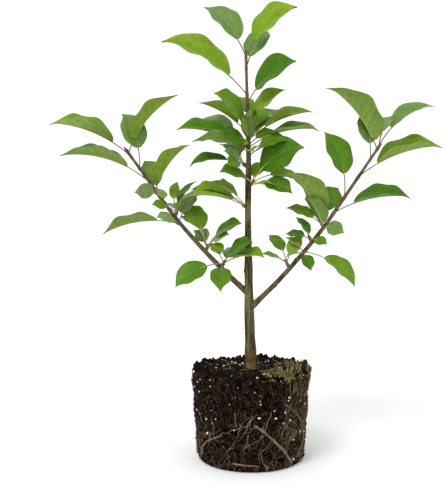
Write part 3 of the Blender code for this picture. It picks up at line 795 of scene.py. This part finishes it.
# %% [markdown]
# The stem and its boughs are living shapes: not quite round, ribbed by the bundles that run
# down from each bough, swollen at the forks and flared where the roots begin. The mesh carries
# these forms, and the bark's bump only adds its skin. Each limb is a fine tube whose radius is
# the source's table plus ribs and knots.

# %% Trunk and boughs
LIMB_RINGS, LIMB_SIDES = 220, 40
RIB_COUNT, RIB_HEIGHT = 5, 0.28 * MM
LENTICEL_RELIEF = 0.16 * MM
KNOTS = (("trunk", 0.335, 250, 1.5), ("trunk", 0.47, 205, 1.2), ("trunk", 0.24, 60, 1.3),
         ("trunk", 0.6, 320, 1.0), ("bough_left", 0.25, 200, 1.0), ("bough_left", 0.7, 20, 0.9),
         ("bough_right", 0.3, 20, 1.0), ("bough_right", 0.6, 200, 0.9))


def limb_radius(name, share, turn, length):
    """A limb's radius at a share of its length and a turn round it."""
    smooth = [along(LIMBS[name][3], share + step) for step in (-0.02, -0.01, 0, 0.01, 0.02)]
    radius = sum(smooth) / len(smooth) * MM
    ribs = math.sin(RIB_COUNT * turn + 2.5 * math.sin(share * 5)) * RIB_HEIGHT * radius / (6 * MM)
    around = Vector((math.cos(turn), math.sin(turn), 0)) * radius
    at = around + Vector((0, 0, share * length))
    grain = noise.fractal(Vector((at.x / (2 * MM), at.y / (2 * MM), at.z / (12 * MM))), 0.9, 2, 3)
    pores = max(0.0, noise.noise(Vector((at.x / (1.6 * MM), at.y / (1.6 * MM), at.z / MM))) - 0.45)
    knot = 0.0
    for limb_name, knot_share, bearing, size in KNOTS:
        if limb_name == name:
            up = (share - knot_share) * length / (2.4 * MM)
            off = math.remainder(turn - math.radians(bearing), 2 * math.pi) * radius / (2.2 * MM)
            knot += size * 0.9 * MM * math.exp(-up * up - off * off)
    return radius + ribs + grain * 0.11 * MM + pores * LENTICEL_RELIEF * 4 + knot


def limb_mesh(name):
    """Points and faces of one limb."""
    foot, tip, bow, _ = LIMBS[name]
    length = (Vector(tip) - Vector(foot)).length * MM
    turns = [i * 2 * math.pi / LIMB_SIDES for i in range(LIMB_SIDES)]
    side = Vector((0, 1, 0))
    points = []
    for ring in range(LIMB_RINGS):
        share = ring / (LIMB_RINGS - 1)
        at = bowed(foot, tip, bow, share)
        ahead = (bowed(foot, tip, bow, share + 0.01) - bowed(foot, tip, bow, share - 0.01))
        ahead.normalize()
        side = (side - ahead * side.dot(ahead)).normalized()
        other = side.cross(ahead)
        for turn in turns:
            radius = limb_radius(name, share, turn, length)
            point = at + (other * math.cos(turn) + side * math.sin(turn)) * radius
            if name == "trunk" and ring == 0:
                point.z = BALL_HEIGHT + GAP
            points.append(point)
    faces = grid_faces(LIMB_RINGS, LIMB_SIDES, closed=True)
    start, end = len(points), len(points) + 1
    points += [bowed(foot, tip, bow, 0), bowed(foot, tip, bow, 1)]
    last = (LIMB_RINGS - 1) * LIMB_SIDES
    for i in range(LIMB_SIDES):
        faces.append((start, (i + 1) % LIMB_SIDES, i))
        faces.append((end, last + i, last + (i + 1) % LIMB_SIDES))
    return points, faces


for name in LIMBS:
    gathered = Gathered()
    points, faces = limb_mesh(name)
    gathered.add(points, faces, 0)
    gathered.piece(name + "_bark", [trunk_bark if name == "trunk" else bough_bark], "bark", name)
    print(name, len(faces), "faces")

# %% [markdown]
# The root ball keeps the shape of the pot that it came out of, a squat cone with a worn rim.
# Its surface is crumbly and full of gaps, so the turned form of the solid gets two kinds of
# relief: the lumps of the source, and clods and crumbs from a Voronoi noise, whose cells give
# rounded grains. The gaps between them are marked for the shader, which paints shade there as black.

# %% Root ball form
BALL_TOP_RADIUS, BALL_FOOT_RADIUS = 73.5 * MM, 66 * MM
TOP_EDGE, FOOT_EDGE = 3.5 * MM, 4 * MM
LUMP_HEIGHT, LUMP_SPACING, LUMP_FADE = 2.2 * MM, 24 * MM, 12 * MM
FOOTING_RADIUS = 15 * MM
TOP_FALL = 0.055
BALL_TURNS = 320
CRUMBS = ((7 * MM, 2.8 * MM), (3 * MM, 1.5 * MM), (1.5 * MM, 0.6 * MM))  # cell and height
GAP_SHADE_DEPTH = 0.75 * MM  # depth below the mean surface at which the painted shade in a gap is full black
CRUMB_FADE = 4 * MM  # over which the crumbs fade out towards the foot


def lumps(point):
    return LUMP_HEIGHT * noise.noise(point / LUMP_SPACING)


def settled(point):
    """The point once the soil has sunk a little towards the back, round the trunk's seat."""
    inner = min(1, max(0, math.hypot(point.x, point.y) - FOOTING_RADIUS) / LUMP_FADE)
    return Vector((point.x, point.y, point.z * (1 - inner * TOP_FALL * point.y / BALL_HEIGHT)))


def crumbs(point):
    """Height of the crumbs at a point: rounded grains with gaps between them."""
    height = 0.0
    for size, relief in CRUMBS:
        nearest = noise.voronoi(point / size)[0][0]
        height += relief * (0.5 - nearest)
    return height


def side_radius(height):
    return BALL_FOOT_RADIUS + (BALL_TOP_RADIUS - BALL_FOOT_RADIUS) * height / BALL_HEIGHT


def ball_radius(bearing, height):
    """How far the side of the ball is from its axis, lumps and all."""
    slope = side_radius(height)
    return slope + lumps(heading(bearing, 0) * slope + Vector((0, 0, height)))


def ball_profile():
    """Radius and height of the rings, from the middle of the top to the middle of the foot."""
    top = [(r, BALL_HEIGHT) for r in np.linspace(0.002, BALL_TOP_RADIUS - TOP_EDGE, 48)]
    rim = [(BALL_TOP_RADIUS - TOP_EDGE * (1 - math.cos(math.radians(turn))),
            BALL_HEIGHT - TOP_EDGE * (1 - math.sin(math.radians(turn))))
           for turn in range(78, -1, -13)]
    heights = np.linspace(BALL_HEIGHT - TOP_EDGE, FOOT_EDGE, 82)[1:-1]
    foot = [(BALL_FOOT_RADIUS - FOOT_EDGE * (1 - math.cos(math.radians(turn))),
             FOOT_EDGE * (1 - math.sin(math.radians(turn)))) for turn in range(0, 91, 18)]
    return top + rim + [(side_radius(h), h) for h in heights] + foot + [(0.002, 0.0)]


def ball_mesh():
    """Points and faces of the ball, and how deep in a gap each point lies, for the painted shade."""
    profile = ball_profile()
    points, marks = [], []
    for radius, height in profile:
        for step in range(BALL_TURNS):
            turn = step * 2 * math.pi / BALL_TURNS
            point = Vector((radius * math.cos(turn), radius * math.sin(turn), height))
            weight = min(1, height / LUMP_FADE)
            inner = min(1, max(0, radius - FOOTING_RADIUS) / LUMP_FADE)
            rough = crumbs(point) * min(1, height / CRUMB_FADE)
            if height > BALL_HEIGHT - TOP_EDGE:
                point.z += weight * inner * lumps(point) + rough * max(0.35, inner)
            if radius > BALL_FOOT_RADIUS - LUMP_FADE and height > 0:
                stretch = 1 + (weight * inner * lumps(point) + rough) / radius
                point.x, point.y = point.x * stretch, point.y * stretch
            points.append(settled(point))
            # The deeper a point lies below the crumbs' mean, the darker its painted shade.
            marks.append(min(1.0, max(0.0, -rough / GAP_SHADE_DEPTH)))
    faces = grid_faces(len(profile), BALL_TURNS, closed=True, flip=True)
    points += [Vector((0, 0, BALL_HEIGHT)), Vector((0, 0, 0))]
    marks += [0.0, 0.0]
    last = (len(profile) - 1) * BALL_TURNS
    for i in range(BALL_TURNS):
        faces.append((len(points) - 2, i, (i + 1) % BALL_TURNS))
        faces.append((len(points) - 1, last + (i + 1) % BALL_TURNS, last + i))
    return points, faces, marks


gathered = Gathered()
points, faces, marks = ball_mesh()
gathered.add(points, faces, 0, marks)
gathered.piece("root_ball_peat", [peat], "peat", "root_ball")
print("root ball", len(faces), "faces")

# %% [markdown]
# Clods, crumbs and perlite are small lumps of no particular shape. A ball with a few dozen
# faces, squeezed and roughened by noise, gives each its own form, and a seeded scatter gives
# its place. The clods stand along the rim, where the soil breaks off, most of all at the back.

# %% Clods, crumbs and perlite
CLODS, SIDE_CRUMBS, TOP_CRUMBS, SIDE_PERLITE, TOP_PERLITE = 230, 620, 460, 80, 40
SPECKS, FOOT_CRUMBS = 1500, 26
CLOD_RADII, CRUMB_RADII, PERLITE_RADII = (1.0, 3.2), (0.6, 1.8), (0.45, 1.6)  # millimetres
SPECK_RADII, CLOD_TALL = (0.25, 0.65), (0.7, 1.7)
BACK_CLODS = 0.6  # share of the clods that stand on the far half of the rim


def unit_grain(rounds):
    """Points and faces of a ball of 20 triangles, or of 80 after a second round."""
    shape = bmesh.new()
    bmesh.ops.create_icosphere(shape, subdivisions=rounds, radius=1)
    points = [v.co.copy() for v in shape.verts]
    faces = [[v.index for v in f.verts] for f in shape.faces]
    shape.free()
    return points, faces


GRAIN, SPECK = unit_grain(2), unit_grain(1)


def add_grain(gathered, at, radius, chance, finish, form=GRAIN, tall=1.0):
    """A rough grain at a point, in its own shape."""
    stretch = Vector([chance.uniform(0.6, 1.3) for _ in range(3)])
    stretch.z *= tall
    seed = Vector([chance.uniform(0, 100) for _ in range(3)])
    found = []
    for point in form[0]:
        bulge = 1 + 0.45 * noise.noise(point * 1.3 + seed)
        found.append(at + Vector([point[i] * stretch[i] for i in range(3)]) * radius * bulge)
    gathered.add(found, form[1], finish)


def on_side(bearing, height):
    """A point on the side of the ball, and the way out of it."""
    out = heading(bearing, 0)
    return settled(out * ball_radius(bearing, height) + Vector((0, 0, height))), out


def on_top(bearing, radius):
    at = heading(bearing, 0) * radius + Vector((0, 0, BALL_HEIGHT))
    return settled(at + Vector((0, 0, lumps(at)))), Vector((0, 0, 1))


def anywhere_on_top(chance):
    spread = math.sqrt(chance.uniform(0.04, 0.95))
    return on_top(chance.uniform(0, 360), BALL_TOP_RADIUS * spread)[0]


def anywhere_on_side(chance):
    height = BALL_HEIGHT - (BALL_HEIGHT - 4 * MM) * chance.random()
    return on_side(chance.uniform(0, 360), height)[0]


def high_on_side(chance):
    """Perlite floats up in a wet mix, so most of it lies in the upper half."""
    height = BALL_HEIGHT - BALL_HEIGHT * chance.betavariate(1.3, 2.4)
    at, out = on_side(chance.uniform(0, 360), max(height, 5 * MM))
    return at + out * 0.6 * MM


chance = random.Random("grains of the root ball")
loose, white = Gathered(), Gathered()
for _ in range(CLODS):
    far = chance.random() < BACK_CLODS
    bearing = chance.uniform(0, 180) if far else chance.uniform(180, 360)
    at, _ = on_top(bearing, BALL_TOP_RADIUS - chance.uniform(3, 11) * MM)
    at.z += chance.uniform(-1, 1.5) * MM
    add_grain(loose, at, chance.uniform(*CLOD_RADII) * MM, chance,
              chance.choice((0, 0, 2)) if far else 0, GRAIN, chance.uniform(*CLOD_TALL))
for place_one, count, kinds in ((anywhere_on_side, SIDE_CRUMBS, (0, 0, 0, 1)),
                                (anywhere_on_top, TOP_CRUMBS, (0, 0, 0, 2, 2))):
    for _ in range(count):
        radius = chance.uniform(*CRUMB_RADII) * MM
        add_grain(loose, place_one(chance), radius, chance, chance.choice(kinds))
for _ in range(FOOT_CRUMBS):
    at, _ = on_top(chance.uniform(0, 360), chance.uniform(7.5, 12) * MM)
    add_grain(loose, at, chance.uniform(*CRUMB_RADII) * MM, chance, chance.choice((0, 1, 2)))
for _ in range(SPECKS):
    at = anywhere_on_side(chance)
    out = Vector((at.x, at.y, 0)).normalized()
    add_grain(loose, at + out * chance.uniform(0.5, 2) * MM, chance.uniform(*SPECK_RADII) * MM,
              chance, chance.choice((1, 3)), SPECK)
for place_one, count in ((high_on_side, SIDE_PERLITE), (anywhere_on_top, TOP_PERLITE)):
    for _ in range(count):
        add_grain(white, place_one(chance), chance.uniform(*PERLITE_RADII) * MM, chance, 0)
loose.piece("root_ball_crumbs", [dark_crumb, brown_crumb, green_crumb, pale_crumb], "peat",
            "root_ball")
white.piece("root_ball_perlite", [perlite], "perlite", "root_ball")
print("grains", CLODS + SIDE_CRUMBS + TOP_CRUMBS + SPECKS + SIDE_PERLITE + TOP_PERLITE)

# %% [markdown]
# The roots grew against the pot's wall, so they wander over the side of the ball and never
# leave it. The main ones follow the source's own paths, and the thickest has a thinner one
# beside it. The fine ones are walks: each step turns a little, and the point is put back on
# the surface. Half of them branch.

# %% Roots
SURFACE_ROOTS = (
    ((317, 6), (272, 59), 4, 1.6),
    ((327, 10), (303, 82), 20, 1.1),
    ((250, 11), (277, 9), -2, 1.2),
    ((205, 12), (238, 44), -8, 1.4),
    ((118, 20), (150, 78), 9, 1.7),
    ((18, 16), (60, 62), -8, 1.4),
)
ROOT_TAPER = 0.45
ROOT_POINTS = 41
TWIN_TURN, TWIN_SHARE = 1.9, 0.6  # degrees to the strand beside the first, and its thickness
FINE_ROOTS = 120
FINE_STEP = 1.7 * MM
FINE_RADII = (0.16, 0.2, 0.22, 0.28, 0.42)  # millimetres
DOWNHILL, HOMING = (205, 285), 0.2  # the courses that they take, and how they keep to them


def main_root(number, start, end, bow, radius, turned=0.0):
    """Points and radii of one of the source's roots, with finer steps."""
    points, radii = [], []
    for i in range(ROOT_POINTS):
        share = i / (ROOT_POINTS - 1)
        bearing = start[0] + (end[0] - start[0]) * share + bow * math.sin(math.pi * share)
        height = (start[1] + (end[1] - start[1]) * share) * MM
        wobble = noise.noise(Vector((share * 9, number + turned, 0)))
        at, out = on_side(bearing + turned * math.cos(share * 7) + 1.2 * wobble, height)
        points.append(at + out * 0.5 * MM)
        radii.append(radius * MM * (1 - ROOT_TAPER * share) * (1 + 0.18 * wobble))
    return points, radii


def fine_root(bearing, height, course, length, radius, chance):
    """A walk over the side of the ball: its points, its radii and the course at each."""
    points, radii, courses = [], [], []
    steps = max(6, int(length / FINE_STEP))
    home = course
    for i in range(steps):
        at, out = on_side(bearing, height)
        lift = 0.5 * MM + 0.7 * MM * noise.noise(at / (9 * MM))
        points.append(at + out * lift)
        radii.append(radius * (1 - 0.6 * i / steps))
        courses.append((bearing, height, course))
        course += chance.uniform(-32, 32) + (home - course) * HOMING
        bearing += math.degrees(FINE_STEP * math.cos(math.radians(course)) / BALL_TOP_RADIUS)
        height += FINE_STEP * math.sin(math.radians(course))
        if not 2.5 * MM < height < BALL_HEIGHT - 4 * MM:
            height = min(max(height, 2.5 * MM), BALL_HEIGHT - 4 * MM)
            course, home = -course, -home
    return points, radii, courses


roots = Gathered()
for number, (start, end, bow, radius) in enumerate(SURFACE_ROOTS):
    points, radii = main_root(number, start, end, bow, radius)
    roots.add(*tube(points, radii, 10), 0)
start, end, bow, radius = SURFACE_ROOTS[0]
points, radii = main_root(0, start, end, bow, radius * TWIN_SHARE, TWIN_TURN)
roots.add(*tube(points, radii, 8), 0)
chance = random.Random("fine roots")
for _ in range(FINE_ROOTS):
    height = chance.uniform(8, 78) * MM
    radius, length = chance.choice(FINE_RADII) * MM, chance.uniform(18, 70) * MM
    finish = chance.choice((0, 1, 1, 1))
    points, radii, courses = fine_root(chance.uniform(0, 360), height,
                                       chance.uniform(*DOWNHILL), length, radius, chance)
    roots.add(*tube(points, radii, 6), finish)
    if chance.random() < 0.5:
        bearing, height, course = courses[len(courses) // 3]
        course += chance.choice((-1, 1)) * chance.uniform(30, 60)
        points, radii, _ = fine_root(bearing, height, course, length / 2, radius * 0.7, chance)
        roots.add(*tube(points, radii, 6), finish)
roots.piece("root_ball_roots", [root_tan, root_pale], "root", "root_ball")
print("roots", FINE_ROOTS + len(SURFACE_ROOTS))

# %% [markdown]
# Dry moss lies as a tangled mat over the rim at the front right, and thin straws and root
# hairs lie or stand all over the ball. Each is a hair-thin bent tube. The mat is thick in
# some places and bare in others, which a noise decides.

# %% Moss and fibres
MOSS_STRANDS, STRAWS, ROOT_HAIRS = 3000, 26, 260
FIBRES, DRY_FIBRES = 900, 480  # all round, and where the peat is drier
DRY_FROM, DRY_TO = 303, 350
MOSS_FROM, MOSS_TO = 284, 392  # bearings between which the moss grows
MOSS_IN, MOSS_DOWN = 15, 1.6  # millimetres that it reaches in from the rim, and down from it
BARE, BARE_SPACING = 0.02, 6 * MM  # noise below which there is no moss, and its scale
FIBRE_LINE = ((-0.15, 1), (0.2, 1), (0.5, 0.9), (0.8, 0.7), (1, 0.3))  # share and thickness
GROUND_CLEAR = 0.4 * MM
FIBRE_REACH = 76.5 * MM  # from the axis of the ball
moss, fibres = Gathered(), Gathered()
chance = random.Random("moss and fibres")


def any_way(chance):
    return Vector([chance.uniform(-1, 1) for _ in range(3)])


def add_fibre(gathered, at, direction, length, radius, finish, sag=0.5):
    """A bent hair from a point. One that would reach the ground or far out is left out."""
    bend = any_way(chance) * sag
    points = [at + (direction * t + bend * t * t) * length for t, _ in FIBRE_LINE]
    far = max(math.hypot(point.x, point.y) for point in points)
    if far < FIBRE_REACH and min(point.z for point in points) > GROUND_CLEAR:
        gathered.add(*tube(points, [radius * thick for _, thick in FIBRE_LINE], 4), finish)


for _ in range(MOSS_STRANDS):
    bearing, reach = chance.uniform(MOSS_FROM, MOSS_TO), abs(chance.gauss(0, 1))
    if chance.random() < 0.7:
        at, out = on_top(bearing, BALL_TOP_RADIUS - (1 + MOSS_IN * reach) * MM)
    else:
        at, out = on_side(bearing, BALL_HEIGHT - (1 + MOSS_DOWN * reach) * MM)
    if noise.noise(at / BARE_SPACING) > BARE:
        way = (out * chance.uniform(0.1, 0.6) + any_way(chance)).normalized()
        add_fibre(moss, at + out * 0.8 * MM, way, chance.uniform(2.5, 7) * MM,
                  chance.uniform(0.2, 0.42) * MM, chance.choice((0, 0, 1, 3)))
for _ in range(STRAWS):
    at = anywhere_on_top(chance)
    way = any_way(chance)
    way.z = chance.uniform(0.0, 0.15)
    add_fibre(moss, at + Vector((0, 0, 1.5 * MM)), way.normalized(),
              chance.uniform(10, 24) * MM, 0.24 * MM, chance.choice((1, 2)), 0.3)
for _ in range(ROOT_HAIRS):
    at, out = on_side(chance.uniform(0, 360), chance.uniform(4, 110) * MM)
    way = (out * 0.5 + any_way(chance)).normalized()
    add_fibre(moss, at, way, chance.uniform(3, 8) * MM, 0.14 * MM, 2)
for number in range(FIBRES + DRY_FIBRES):
    dry = number >= FIBRES
    bearing = chance.uniform(DRY_FROM, DRY_TO) if dry else chance.uniform(0, 360)
    at, out = on_side(bearing, chance.uniform(35 if dry else 6, 108) * MM)
    way = any_way(chance) * 0.5 + Vector((0, 0, chance.choice((-1, 1))))
    way -= out * way.dot(out)
    add_fibre(fibres, at + out * 0.8 * MM, way.normalized(), chance.uniform(4, 9) * MM,
              chance.uniform(0.14, 0.28) * MM, 1 if dry and chance.random() < 0.5 else 0, 0.25)
moss.piece("root_ball_moss", [moss_olive, moss_straw, root_pale, green_crumb], "moss",
           "root_ball")
fibres.piece("root_ball_fibres", [brown_fibre, pale_crumb], "peat", "root_ball")
print("fibres", MOSS_STRANDS + STRAWS + ROOT_HAIRS + FIBRES + DRY_FIBRES)

# %% [markdown]
# The photograph is a cut-out on white with a faint shadow. A large pale floor, a white world
# and one big soft light from the upper left give that, and keep the greens bright.

# %% Floor and light
FLOOR_SIZE = 60.0
floor_mesh = bpy.data.meshes.new("floor")
half = FLOOR_SIZE / 2
floor_mesh.from_pydata([(-half, -half, 0), (half, -half, 0), (half, half, 0), (-half, half, 0)],
                       [], [(0, 1, 2, 3)])
floor = bpy.data.objects.new("floor", floor_mesh)
bpy.context.scene.collection.objects.link(floor)
floor_paint, tree, shader, place = new_material("matt_white_paint", 0.9, 0.1)
speckle = add_node(tree, "ShaderNodeTexNoise", None, {"Vector": place, "Scale": 3.0})
tone = add_node(tree, "ShaderNodeMapRange", None,
                {"Value": speckle.outputs["Fac"], "To Min": 0.9, "To Max": 0.92})
tree.links.new(tone.outputs["Result"], shader.inputs["Base Color"])
floor_mesh.materials.append(floor_paint)

world = bpy.data.worlds.new("studio")
bpy.context.scene.world = world
world.use_nodes = True
sky = world.node_tree.nodes["Background"]
sky.inputs["Color"].default_value = (1, 1, 1, 1)
sky.inputs["Strength"].default_value = 1.0


sun = bpy.data.lights.new("key", "SUN")
sun.energy = 1.3
sun.angle = math.radians(25)
key = bpy.data.objects.new("key", sun)
key.rotation_euler = (Vector((0, 0, 0)) - Vector((-0.9, -1.3, 1.9))).to_track_quat("-Z", "Y").to_euler()
bpy.context.scene.collection.objects.link(key)
bpy.context.scene.view_settings.view_transform = "Standard"
print("lights 1")
